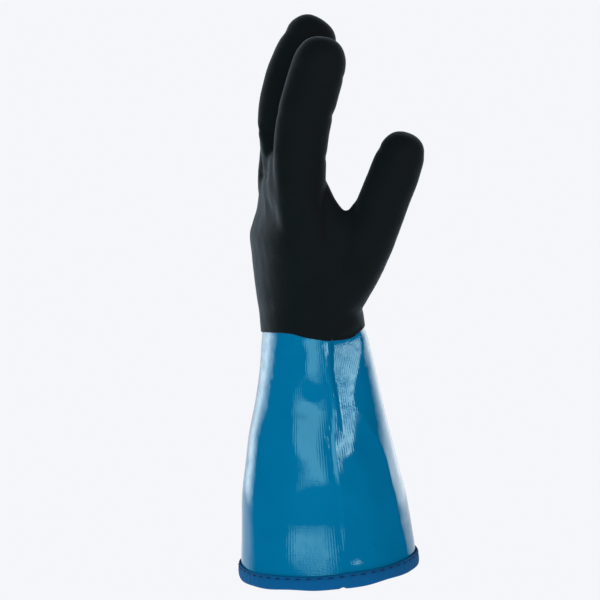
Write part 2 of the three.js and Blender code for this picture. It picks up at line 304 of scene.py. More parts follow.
SWELLS = (
    Swell(143, -126, 7, 8, -0.9),
    Swell(107, -83, 4.5, 8, 0.2),
    Swell(81.5, -83, 7.5, 8, 0.9),
    Swell(64, -82, 8, 9, -0.6),
    Swell(111.5, -121, 9, 14, -1.1),
    Swell(37, -112, 18, 36, -1.6),
    Swell(62, -100, 12, 22, 0.9),
    Swell(18, -150, 16, 16, 0.8),
    Swell(45, -45, 9, 12, 0.6),
    Swell(50, -69, 3, 3, 0.35),
    Swell(12, -88, 3, 5, 0.3),
    Swell(6, -78, 7, 6, 0.4),
    Swell(3, -112, 9, 28, 0.3),
    Swell(32, -18, 26, 30, 2.8),
    Swell(84, -18, 25, 28, 0.8),
    Swell(60, 150, 25, 26, 0.9),
    Swell(100, 20, 18, 16, -0.8),
)

DIP_WAVE = (
    Wave(-160, 2.4),
    Wave(-131, 3.0),
    Wave(-112, 0.2),
    Wave(-88, -3.0),
    Wave(-64, -3.4),
    Wave(-46, 0.4),
    Wave(-15, 0.7),
    Wave(35, -1.0),
    Wave(90, 1.0),
    Wave(145, -0.5),
)


def table_of(rows: Sequence[Any]) -> np.ndarray:
    """A table's rows as an array with one line for each row."""
    return np.array([astuple(row) for row in rows], float)


def smooth_rows(rows: np.ndarray, at: np.ndarray) -> np.ndarray:
    """Samples a table as smooth curves through its rows.

    Args:
        rows: the table, one line for each row.
        at: row numbers, which may lie between two rows.

    Returns:
        One line of columns for each row number.
    """
    last = len(rows) - 1
    i = np.clip(np.floor(at).astype(int), 0, last - 1)
    t = (at - i)[:, None]
    a, b, c, d = (rows[np.clip(i + step, 0, last)] for step in (-1, 0, 1, 2))
    slope_b = (c - a) / 2
    slope_c = (d - b) / 2
    cubic = 2 * b - 2 * c + slope_b + slope_c
    square = 3 * c - 3 * b - 2 * slope_b - slope_c
    return cubic * t**3 + square * t**2 + slope_b * t + b


def ease(low: float, high: float, value: np.ndarray) -> np.ndarray:
    """A smooth step from 0 at low to 1 at high."""
    t = np.clip((value - low) / (high - low), 0, 1)
    return t * t * (3 - 2 * t)


def turn_of(points: np.ndarray) -> np.ndarray:
    """The directions of points about +Z, in radians."""
    return np.arctan2(points[:, 1], points[:, 0])


def turned_from(degrees: np.ndarray, start: Any) -> np.ndarray:
    """How far directions lie from a start, from -180 to 180 degrees."""
    return np.mod(degrees - start + 180, 360) - 180


def section_points(
    rows: np.ndarray,
    z: np.ndarray,
    turn: np.ndarray,
    inset: np.ndarray | float = 0.0,
    share: np.ndarray | float = 1.0,
) -> np.ndarray:
    """Points on the outline that a section table gives at some heights.

    Args:
        rows: the section table as an array.
        z: heights in millimetres.
        turn: directions about +Z in radians.
        inset: how far the outline is taken in.
        share: how much of its size is kept.

    Returns:
        One point for each height and direction.
    """
    at = smooth_rows(rows, np.interp(z, rows[:, 0], np.arange(len(rows))))
    back, front, radial, ulnar, power, arch, tilt = at[:, 1:].T
    across = np.sign(np.cos(turn)) * np.abs(np.cos(turn)) ** (2 / power) * share
    along = np.sign(np.sin(turn)) * np.abs(np.sin(turn)) ** (2 / power) * share
    x = (front + back) / 2 + ((front - back) / 2 - inset) * across
    y = (ulnar + radial) / 2 + ((ulnar - radial) / 2 - inset) * along
    return np.stack([x - arch * (1 - along**2) + tilt * along, y, z], axis=1)


def rounded_run(
    share: np.ndarray, body: float, foot: float, shoulder: float, top: float
) -> tuple[np.ndarray, np.ndarray]:
    """Runs along a form that is even up to its shoulder and rounded above it.

    Args:
        share: shares, 0 to 1, of the mesh's rings.
        body: the share that lies below the shoulder.
        foot: where the form starts.
        shoulder: where its rounding starts.
        top: where it closes.

    Returns:
        Where each share lies along the form, and how much of its width is left there.
    """
    bend = np.clip((share - body) / (1 - body), 0, 1) * math.pi / 2
    even = foot + (shoulder - foot) * share / body
    at = np.where(share < body, even, shoulder + (top - shoulder) * np.sin(bend))
    return at, np.where(share < body, 1.0, np.cos(bend))


def dip_height(angle: np.ndarray) -> np.ndarray:
    """Follows the hand coat's wavy lower edge round the sleeve.

    Args:
        angle: directions about +Z in radians.

    Returns:
        The edge's height in each direction, in millimetres.
    """
    rows = table_of(DIP_WAVE)
    start = rows[0, 0]
    degrees = start + np.mod(np.degrees(angle) - start, 360)
    once_round = np.array([360.0, 0.0])
    ring = np.concatenate([rows[-1:] - once_round, rows, rows[:2] + once_round])
    at = np.interp(degrees, ring[:, 0], np.arange(len(ring)))
    return DIP_LINE + smooth_rows(ring[:, 1:], at)[:, 0]


def ripple(points: np.ndarray, pitch: float, seed: float) -> np.ndarray:
    """A soft irregular swell between about -1 and 1, the same on each run.

    Args:
        points: places in millimetres.
        pitch: about how far apart the swells are.
        seed: a number that shifts the pattern.

    Returns:
        The swell at each place.
    """
    spin = 2 * math.pi / pitch
    x, y, z = (points * spin).T
    first = np.sin(x + 1.7 * np.sin(0.6 * y + seed)) * np.cos(0.9 * y - 1.3 * seed)
    second = np.sin(1.3 * y + 1.1 * np.sin(0.7 * z - seed)) * np.cos(0.8 * z + 0.7 * x)
    third = np.sin(1.1 * z + 0.9 * np.sin(0.8 * x + 2 * seed)) * np.cos(0.6 * x - seed)
    return (first + second + third) / 2.2


def direction(azimuth: float, elevation: float) -> Vector:
    """The direction from the glove towards an azimuth and elevation in degrees."""
    a = math.radians(azimuth)
    e = math.radians(elevation)
    return Vector((math.sin(a) * math.cos(e), -math.cos(a) * math.cos(e), math.sin(e)))


def read_points(piece: bpy.types.Object, value: str = "co") -> np.ndarray:
    """Reads one value of each of a mesh's points.

    Args:
        piece: the object.
        value: co for the points' places, or normal for the directions that they face.

    Returns:
        One line of three numbers for each point.
    """
    numbers = np.empty(len(piece.data.vertices) * 3)
    piece.data.vertices.foreach_get(value, numbers)
    return numbers.reshape(-1, 3)


def write_points(piece: bpy.types.Object, points: np.ndarray) -> None:
    """Moves a mesh's points to the places in an array."""
    piece.data.vertices.foreach_set("co", np.ascontiguousarray(points, float).ravel())
    piece.data.update()


def pick(*pieces: bpy.types.Object) -> None:
    """Selects only these pieces and makes the first one active.

    Args:
        *pieces: the objects.
    """
    bpy.ops.object.select_all(action="DESELECT")
    for piece in pieces:
        piece.select_set(True)
    bpy.context.view_layer.objects.active = pieces[0]


@contextmanager
def editing(part: Part, selected: bool) -> Iterator[None]:
    """Holds the active piece in edit mode.

    Args:
        part: what is selected there.
        selected: whether all of it or nothing is selected at first.
    """
    bpy.ops.object.mode_set(mode="EDIT")
    bpy.ops.mesh.select_mode(type=part.name)
    bpy.ops.mesh.select_all(action="SELECT" if selected else "DESELECT")
    yield
    bpy.ops.object.mode_set(mode="OBJECT")


def choose(piece: bpy.types.Object, part: Part, test: Callable[[Any], bool]) -> None:
    """Selects the edges or faces of a piece in edit mode that pass a test.

    Args:
        piece: the object that is edited.
        part: which of its parts are tested.
        test: says for one of them whether it is selected.
    """
    mesh = bmesh.from_edit_mesh(piece.data)
    for member in getattr(mesh, part.value):
        member.select_set(test(member))
    bmesh.update_edit_mesh(piece.data)


def start_piece(name: str, add: Callable[..., Any], **settings: Any) -> bpy.types.Object:
    """Starts a piece as a primitive, with its place and turn in its mesh.

    Args:
        name: the new object's name.
        add: the operator that adds the primitive.
        **settings: the primitive's sizes and place.

    Returns:
        The new object, selected and active.
    """
    bpy.ops.object.select_all(action="DESELECT")
    add(**settings)
    piece = bpy.context.object
    piece.name = piece.data.name = name
    bpy.ops.object.transform_apply(location=True, rotation=True, scale=True)
    return piece


def unit_tube(name: str, sides: int, rings: int) -> bpy.types.Object:
    """An open tube along Z from 0 to 1, made of a cylinder that is cut into rings.

    Args:
        name: the new object's name.
        sides: how many flat sides the tube has.
        rings: how many rings of points it has, ends included.

    Returns:
        The tube, ready to be laid onto a surface.
    """
    tube = start_piece(
        name,
        bpy.ops.mesh.primitive_cylinder_add,
        vertices=sides,
        radius=1,
        depth=1,
        end_fill_type="NOTHING",
        location=(0, 0, 0.5),
    )
    with editing(Part.EDGE, selected=False):
        choose(tube, Part.EDGE, lambda edge: abs(edge.verts[0].co.z - edge.verts[1].co.z) > 0.5)
        bpy.ops.mesh.subdivide(number_cuts=rings - 2)
    return tube


def lay_tube(
    tube: bpy.types.Object, surface: Callable[[np.ndarray, np.ndarray], np.ndarray]
) -> None:
    """Lays a unit tube onto a surface.

    Args:
        tube: a tube from unit_tube.
        surface: gives points in millimetres from directions in radians and shares, 0 to 1,
            of the tube's length.
    """
    points = read_points(tube)
    write_points(tube, surface(turn_of(points), np.clip(points[:, 2], 0, 1)) * MM)


def close_ends(piece: bpy.types.Object) -> None:
    """Merges the rings that have shrunk to a point and fills the open ones.

    Args:
        piece: a tube that has been laid onto a surface.
    """
    pick(piece)
    with editing(Part.VERT, selected=True):
        bpy.ops.mesh.remove_doubles(threshold=POLE_WELD * MM)
        bpy.ops.mesh.fill_holes(sides=0)
        bpy.ops.mesh.select_all(action="SELECT")
        bpy.ops.mesh.normals_make_consistent(inside=False)


def apply_modifier(piece: bpy.types.Object, kind: str, **settings: Any) -> None:
    """Adds a modifier to a piece and applies it.

    Args:
        piece: the object.
        kind: the modifier's type.
        **settings: its properties.
    """
    pick(piece)
    modifier = piece.modifiers.new(kind.title(), kind)
    for key, value in settings.items():
        setattr(modifier, key, value)
    bpy.ops.object.modifier_apply(modifier=modifier.name)


def set_group(piece: bpy.types.Object, name: str, weights: np.ndarray) -> None:
    """Stores one weight for each point as a vertex group.

    Args:
        piece: the object.
        name: the group's name.
        weights: the points' weights, 0 to 1, which are stored in even steps.
    """
    group = piece.vertex_groups.new(name=name)
    levels = np.round(np.clip(weights, 0, 1) * WEIGHT_STEPS) / WEIGHT_STEPS
    for level in np.unique(levels):
        if level > 0:
            members = np.nonzero(levels == level)[0]
            group.add(members.tolist(), float(level), "REPLACE")


def soften(piece: bpy.types.Object, weights: np.ndarray, factor: float, times: int) -> None:
    """Smooths a piece where its weights are high.

    Args:
        piece: the object.
        weights: one weight, 0 to 1, for each point.
        factor: how strongly each pass smooths.
        times: how many passes there are.
    """
    set_group(piece, "soften", weights)
    apply_modifier(piece, "SMOOTH", factor=factor, iterations=times, vertex_group="soften")
    piece.vertex_groups.remove(piece.vertex_groups["soften"])


def add_wall(piece: bpy.types.Object, thickness: float, **settings: Any) -> None:
    """Gives an open skin a wall that grows inwards, with its inner face in the second slot.

    Args:
        piece: the skin.
        thickness: the wall's thickness in millimetres.
        **settings: other properties of the Solidify modifier.
    """
    apply_modifier(
        piece,
        "SOLIDIFY",
        thickness=thickness * MM,
        offset=-1,
        material_offset=Face.INNER.value,
        **settings,
    )


def lay_finishes(piece: bpy.types.Object, *materials: bpy.types.Material) -> None:
    """Gives a piece its finishes, in the order of its material slots."""
    for material in materials:
        piece.data.materials.append(material)


def shade_smooth(piece: bpy.types.Object) -> None:
    """Shades all faces of a piece smooth."""
    pick(piece)
    bpy.ops.object.shade_smooth()


class Level:
    """A shader socket that carries a number, with arithmetic."""

    def __init__(self, graph: "Graph", socket: bpy.types.NodeSocket) -> None:
        """Wraps one output socket of a graph's node."""
        self.graph = graph
        self.socket = socket

    def _maths(self, operation: str, *values: Any) -> "Level":
        """Adds a Math node and returns its result."""
        inputs = dict(enumerate(values))
        return self.graph.level("ShaderNodeMath", {"operation": operation}, inputs)

    def __add__(self, other: Any) -> "Level":
        """This value plus another."""
        return self._maths("ADD", self, other)

    __radd__ = __add__

    def __mul__(self, other: Any) -> "Level":
        """This value times another."""
        return self._maths("MULTIPLY", self, other)

    __rmul__ = __mul__

    def __gt__(self, other: Any) -> "Level":
        """1 where this value is above another, or else 0."""
        return self._maths("GREATER_THAN", self, other)

    def __lt__(self, other: Any) -> "Level":
        """1 where this value is below another, or else 0."""
        return self._maths("LESS_THAN", self, other)

    def sine(self) -> "Level":
        """The sine of this value in radians."""
        return self._maths("SINE", self)

    def wave(self, pitch: float) -> "Level":
        """A sine wave along this value in metres, with its pitch in millimetres."""
        return (self * (2 * math.pi / (pitch * MM))).sine()

    def size(self) -> "Level":
        """This value without its sign."""
        return self._maths("ABSOLUTE", self)

    def angle_to(self, other: "Level") -> "Level":
        """The angle whose tangent is this value over another."""
        return self._maths("ARCTAN2", self, other)


class Graph:
    """The nodes of one material."""

    def __init__(self, name: str) -> None:
        """Starts a material with an empty surface."""
        self.material = bpy.data.materials.new(name)
        self.material.use_nodes = True
        self.tree = self.material.node_tree
        self.tree.nodes.clear()

    def node(
        self, kind: str, settings: dict[str, Any], inputs: dict[Any, Any]
    ) -> bpy.types.Node:
        """Adds a node.

        Args:
            kind: the node's type.
            settings: its properties, set first.
            inputs: a value or a link for each socket, by its name or number.

        Returns:
            The new node.
        """
        made = self.tree.nodes.new(kind)
        for key, value in settings.items():
            setattr(made, key, value)
        for key, value in inputs.items():
            source = value.socket if isinstance(value, Level) else value
            if isinstance(source, bpy.types.NodeSocket):
                self.tree.links.new(source, made.inputs[key])
            else:
                made.inputs[key].default_value = source
        return made

    def level(
        self, kind: str, settings: dict[str, Any], inputs: dict[Any, Any], output: Any = 0
    ) -> Level:
        """Adds a node and returns one of its outputs as a level."""
        return Level(self, self.node(kind, settings, inputs).outputs[output])

    def parts(self, vector: bpy.types.NodeSocket) -> tuple[Level, Level, Level]:
        """The X, Y and Z of a vector."""
        split = self.node("ShaderNodeSeparateXYZ", {}, {0: vector})
        return tuple(Level(self, output) for output in split.outputs)

    def place(self) -> bpy.types.NodeSocket:
        """The place of a shaded point in the object's own space."""
        return self.node("ShaderNodeTexCoord", {}, {}).outputs["Object"]

    def noise(self, scale: float, detail: float, rough: float) -> Level:
        """A cloudy level between 0 and 1 with scale swells to the metre."""
        inputs = {"Vector": self.place(), "Scale": scale, "Detail": detail, "Roughness": rough}
        return self.level("ShaderNodeTexNoise", {}, inputs)

    def blend(self, factor: Any, low: Any, high: Any) -> bpy.types.NodeSocket:
        """Mixes two colours.

        Args:
            factor: 0 for the low colour, 1 for the high one.
            low: a colour, or a link.
            high: a colour, or a link.

        Returns:
            The mixed colour as a link.
        """
        inputs = {
            MixSocket.FACTOR.value: factor,
            MixSocket.LOW.value: self._colour(low),
            MixSocket.HIGH.value: self._colour(high),
        }
        mixed = self.node("ShaderNodeMix", {"data_type": "RGBA"}, inputs)
        return mixed.outputs[MixSocket.RESULT.value]

    def bump(self, height: Level, depth: float, below: Any = None) -> bpy.types.NodeSocket:
        """Raises the surface where a level is high.

        Args:
            height: the level.
            depth: how far it raises the surface, in millimetres.
            below: another bump that this one lies on.

        Returns:
            The raised normal as a link.
        """
        inputs = {"Height": height, "Distance": depth * MM, "Strength": 1.0}
        if below is not None:
            inputs["Normal"] = below
        return self.node("ShaderNodeBump", {}, inputs).outputs[0]

    def finish(self, **inputs: Any) -> bpy.types.Material:
        """Ends the material in a Principled surface.

        Args:
            **inputs: values or links for its sockets, with _ for a space.

        Returns:
            The finished material.
        """
        named = {key.replace("_", " "): value for key, value in inputs.items()}
        surface = self.node("ShaderNodeBsdfPrincipled", {}, named)
        end = self.node("ShaderNodeOutputMaterial", {}, {})
        self.tree.links.new(surface.outputs[0], end.inputs[0])
        return self.material

    @staticmethod
    def _colour(value: Any) -> Any:
        """A colour's three parts with full alpha, or a link as it is."""
        return (*value, 1.0) if isinstance(value, tuple) else value


def plain_finish(name: str, glow: Triple | None = None) -> bpy.types.Material:
    """A matte black finish, which may glow.

    Args:
        name: the material's name.
        glow: the colour that it gives off, where it gives off any.

    Returns:
        The finished material.
    """
    inputs = {"Base_Color": (0.0, 0.0, 0.0, 1.0), "Roughness": 1.0, "Specular_IOR_Level": 0.0}
    if glow is not None:
        inputs.update(Emission_Color=(*glow, 1.0), Emission_Strength=1.0)
    return Graph(name).finish(**inputs)


@dataclass(frozen=True)
class FoamCoat:
    """The hand's matte, sandy black coat.

    cloud, pores and grain are the swells to the metre of its coarse, middle and fine
    pattern. The depths are in millimetres.
    """

    deep: Triple = (0.0025, 0.0054, 0.0063)
    worn: Triple = (0.0046, 0.0088, 0.0101)
    sheen: Triple = (0.58, 0.76, 0.92)
    cloud: float = 55.0
    pores: float = 700.0
    grain: float = 2300.0
    pore_depth: float = 0.16
    grain_depth: float = 0.09

    def material(self) -> bpy.types.Material:
        """Builds the finish.

        Returns:
            The finished material.
        """
        graph = Graph("sandy_foam_coat")
        cloud = graph.noise(self.cloud, 3, 0.6)
        grain = graph.noise(self.grain, 1, 0.6)
        pores = graph.noise(self.pores, 2, 0.6)
        below = graph.bump(pores, self.pore_depth)
        return graph.finish(
            Base_Color=graph.blend(cloud * 0.7 + grain * 0.35, self.deep, self.worn),
            Roughness=0.68 + 0.16 * pores,
            Specular_IOR_Level=0.05,
            Sheen_Weight=0.22,
            Sheen_Roughness=0.36,
            Sheen_Tint=(*self.sheen, 1.0),
            Normal=graph.bump(grain, self.grain_depth, below),
        )


@dataclass(frozen=True)
class GlossCoat:
    """The gauntlet's glossy blue coat over fine knit ribs, with a few dark specks.

    ribs are counted round the sleeve, and course is the height of a row of the knit. The
    clouds are in swells to the metre. A speck lies at the middle of a cell where its cloud is
    above speck_share.
    """

    blue: Triple = (0.0, 0.177, 0.371)
    deep: Triple = (0.0, 0.146, 0.313)
    speck: Triple = (0.004, 0.02, 0.05)
    shine: Triple = (0.38, 0.95, 1.0)
    ribs: int = 190
    course: float = 0.9
    rib_cloud: float = 260.0
    tone_cloud: float = 30.0
    swell_cloud: float = 45.0
    speck_cloud: float = 21.0
    rib_depth: float = 0.035
    swell_depth: float = 0.5
    speck_cells: float = 55.0
    speck_size: float = 0.028
    speck_share: float = 0.56

    def material(self) -> bpy.types.Material:
        """Builds the finish.

        Returns:
            The finished material.
        """
        graph = Graph("gloss_coat")
        x, y, z = graph.parts(graph.place())
        rib = (y.angle_to(x) * self.ribs).sine()
        uneven = graph.noise(self.rib_cloud, 2, 0.5)
        course = z.wave(self.course) * 0.25
        swell = graph.noise(self.swell_cloud, 1, 0.5)
        cells = {"Vector": graph.place(), "Scale": self.speck_cells}
        off_middle = graph.level("ShaderNodeTexVoronoi", {}, cells, "Distance")
        few = graph.noise(self.speck_cloud, 0, 0.5) > self.speck_share
        tone = graph.blend(graph.noise(self.tone_cloud, 2, 0.5), self.deep, self.blue)
        below = graph.bump(swell, self.swell_depth)
        return graph.finish(
            Base_Color=graph.blend((off_middle < self.speck_size) * few, tone, self.speck),
            Roughness=0.045 + 0.05 * uneven,
            Specular_IOR_Level=0.5,
            Specular_Tint=(*self.shine, 1.0),
            Normal=graph.bump((rib + course) * uneven, self.rib_depth, below),
        )


@dataclass(frozen=True)
class KnitLining:
    """The pale knit on the inside of the walls.

    columns are counted round the glove, course is the height of a row of loops, and fuzz is
    in swells to the metre.
    """

    shade: Triple = (0.42, 0.45, 0.48)
    light: Triple = (0.66, 0.68, 0.70)
    columns: int = 150
    course: float = 1.5
    fuzz: float = 1800.0
    loop_depth: float = 0.35

    def material(self) -> bpy.types.Material:
        """Builds the finish.

        Returns:
            The finished material.
        """
        graph = Graph("knit_lining")
        x, y, z = graph.parts(graph.place())
        column = (y.angle_to(x) * self.columns).sine()
        row = (z * (2 * math.pi / (self.course * MM)) + column.size() * 1.6).sine()
        loops = column.size() * 0.7 + row * 0.3
        fuzz = graph.noise(self.fuzz, 2, 0.6)
        return graph.finish(
            Base_Color=graph.blend(loops * 0.6 + fuzz * 0.4, self.shade, self.light),
            Roughness=0.9,
            Specular_IOR_Level=0.2,
            Sheen_Weight=0.3,
            Normal=graph.bump(loops + fuzz * 0.4, self.loop_depth),
        )


@dataclass(frozen=True)
class WovenTape:
    """The royal-blue woven tape. Its UV map is in metres, along and across the tape.

    warp and weft are the pitches of its threads, and fuzz is in swells to the metre.
    """

    dark: Triple = (0.0, 0.072, 0.205)
    light: Triple = (0.001, 0.135, 0.375)
    sheen: Triple = (0.35, 0.75, 1.0)
    warp: float = 0.62
    weft: float = 0.85
    fuzz: float = 1500.0
    weave_depth: float = 0.12

    def material(self) -> bpy.types.Material:
        """Builds the finish.

        Returns:
            The finished material.
        """
        graph = Graph("woven_tape")
        flat = graph.node("ShaderNodeUVMap", {"uv_map": "tape"}, {}).outputs[0]
        along, across, _ = graph.parts(flat)
        weft = along.wave(self.weft)
        warp = across.wave(self.warp)
        weave = weft * warp * 0.5 + warp * 0.3 + 0.5
        fuzz = graph.noise(self.fuzz, 2, 0.6)
        return graph.finish(
            Base_Color=graph.blend(weave * 0.55 + fuzz * 0.45, self.dark, self.light),
            Roughness=0.72,
            Specular_IOR_Level=0.06,
            Sheen_Weight=0.03,
            Sheen_Roughness=0.4,
            Sheen_Tint=(*self.sheen, 1.0),
            Normal=graph.bump(weave + fuzz * 0.35, self.weave_depth),
        )


@dataclass(frozen=True)
class Thread:
    """The dark blue twisted thread of the stitches."""

    dark: Triple = (0.0, 0.016, 0.060)
    light: Triple = (0.0, 0.036, 0.125)
    twist: float = 0.5
    slant: float = 1.4
    twist_depth: float = 0.05

    def material(self) -> bpy.types.Material:
        """Builds the finish.

        Returns:
            The finished material.
        """
        graph = Graph("stitch_thread")
        x, y, z = graph.parts(graph.place())
        twist = (x + y + z * self.slant).wave(self.twist) * 0.5 + 0.5
        return graph.finish(
            Base_Color=graph.blend(twist, self.dark, self.light),
            Roughness=0.6,
            Specular_IOR_Level=0.15,
            Normal=graph.bump(twist, self.twist_depth),
        )


@dataclass(frozen=True)
class Digit:
    """A finger, the thumb, or a web between them.

    rounding is the length of its round end. The mesh has body_share of its rings below it.
    """

    name: str
    side: SideAxis
    rounding: float
    rows: tuple[Station, ...]
    sides: int = 56
    rings: int = 60
    body_share: float = 0.72
    step: float = 0.02

    def surface(self, turn: np.ndarray, share: np.ndarray) -> np.ndarray:
        """Lays the digit's skin round its centre line.

        Args:
            turn: directions round the centre line in radians.
            share: shares of the mesh's rings, from the root at 0 to the tip at 1.

        Returns:
            One point for each direction and share, in millimetres.
        """
        rows = table_of(self.rows)
        last = len(rows) - 1
        length = np.linalg.norm(rows[-1, :3] - rows[-2, :3])
        shoulder = last - self.rounding / length
        at, size = rounded_run(share, self.body_share, 0.0, shoulder, last)
        here = smooth_rows(rows, at)
        ahead = smooth_rows(rows, at + self.step) - smooth_rows(rows, at - self.step)
        along = ahead[:, :3] / np.linalg.norm(ahead[:, :3], axis=1, keepdims=True)
        side = np.array(self.side.value) - along * (along @ np.array(self.side.value))[:, None]
        side /= np.linalg.norm(side, axis=1, keepdims=True)
        across = np.cross(along, side)
        wide = (here[:, 3] / 2 * size * np.cos(turn))[:, None]
        thick = (here[:, 4] / 2 * size * np.sin(turn))[:, None]
        return here[:, :3] + side * wide + across * thick

    def solid(self) -> bpy.types.Object:
        """Models the digit.

        Returns:
            A closed mesh.
        """
        tube = unit_tube(self.name, self.sides, self.rings)
        lay_tube(tube, self.surface)
        close_ends(tube)
        return tube


DIGITS = (
    Digit(
        "index",
        SideAxis.ACROSS_PALM,
        15,
        (
            Station(-8.0, -24.0, 190, 16.0, 16.0),
            Station(-13.0, -33.0, 216, 24.0, 27.0),
            Station(-14.0, -38.0, 240, 25.5, 30.5),
            Station(-13.3, -40.0, 264, 26.0, 32.5),
            Station(-9.8, -42.0, 285, 26.0, 33.5),
            Station(-4.3, -43.5, 303, 26.5, 33.5),
            Station(1.2, -44.8, 318, 27.0, 32.5),
            Station(4.8, -45.5, 334, 25.5, 28.4),
        ),
    ),
    Digit(
        "middle",
        SideAxis.ACROSS_PALM,
        15,
        (
            Station(-8.0, -8.0, 190, 16.0, 16.0),
            Station(-14.0, -11.0, 216, 25.0, 27.0),
            Station(-13.5, -12.5, 240, 26.0, 29.5),
            Station(-12.5, -13.0, 264, 26.0, 31.0),
            Station(-12.3, -13.6, 287, 26.0, 33.0),
            Station(-6.6, -14.0, 308, 26.5, 33.0),
            Station(3.6, -14.4, 326, 27.0, 32.5),
            Station(16.0, -14.8, 341.2, 26.5, 31.5),
        ),
    ),
    Digit(
        "ring",
        SideAxis.ACROSS_PALM,
        14,
        (
            Station(-8.5, 12.0, 212, 16.0, 16.0),
            Station(-8.5, 13.2, 238, 24.5, 29.5),
            Station(-5.5, 13.8, 261, 25.5, 30.5),
            Station(-1.5, 14.6, 281, 25.5, 31.5),
            Station(4.5, 15.3, 299, 26.0, 31.5),
            Station(11.5, 15.8, 314, 26.0, 30.5),
            Station(18.0, 16.0, 327, 24.5, 27.5),
        ),
    ),
    Digit(
        "little",
        SideAxis.ACROSS_PALM,
        13,
        (
            Station(-4.5, 34.0, 210, 15.0, 14.0),
            Station(-3.0, 38.0, 234, 22.5, 26.0),
            Station(0.5, 40.8, 254, 23.5, 27.0),
            Station(5.0, 43.8, 271, 23.5, 27.5),
            Station(11.0, 46.8, 286, 23.5, 27.0),
            Station(17.0, 49.5, 299, 22.0, 25.0),
        ),
    ),
    Digit(
        "thumb",
        SideAxis.FROM_PALM,
        14,
        (
            Station(4.0, -12.0, 163, 42.0, 32.0),
            Station(11.5, -27.0, 182, 38.0, 36.0),
            Station(20.5, -38.5, 200, 35.0, 33.0),
            Station(27.5, -47.5, 218, 32.0, 29.5),
            Station(33.9, -54.0, 236, 31.0, 28.0),
            Station(40.8, -59.0, 254, 30.0, 27.5),
            Station(48.5, -62.5, 273.5, 25.5, 25.0),
        ),
    ),
    Digit(
        "web",
        SideAxis.UPRIGHT,
        6,
        (
            Station(-14.0, -30.0, 213, 56.0, 20.0),
            Station(-5.0, -36.5, 213, 84.0, 20.0),
            Station(1.5, -40.0, 213, 71.0, 18.0),
            Station(6.5, -42.5, 213, 46.0, 16.0),
            Station(11.5, -45.0, 213, 32.0, 14.0),
            Station(16.5, -47.5, 213, 42.0, 13.0),
            Station(24.0, -50.0, 213, 58.0, 12.0),
        ),
    ),
    Digit(
        "knuckle_bar",
        SideAxis.UPRIGHT,
        8,
        (
            Station(-14.5, -46.0, 242, 30.0, 24.0),
            Station(-15.5, -38.0, 245, 42.0, 27.0),
            Station(-18.0, -27.0, 246, 52.0, 24.0),
            Station(-14.0, -13.0, 243, 42.0, 25.0),
            Station(-12.5, 0.5, 241, 41.0, 22.5),
            Station(-9.0, 13.5, 240, 40.0, 24.0),
            Station(-5.0, 27.0, 238, 38.0, 19.5),
            Station(-1.5, 38.0, 234, 34.0, 18.5),
            Station(0.5, 46.0, 231, 26.0, 15.0),
        ),
    ),
)


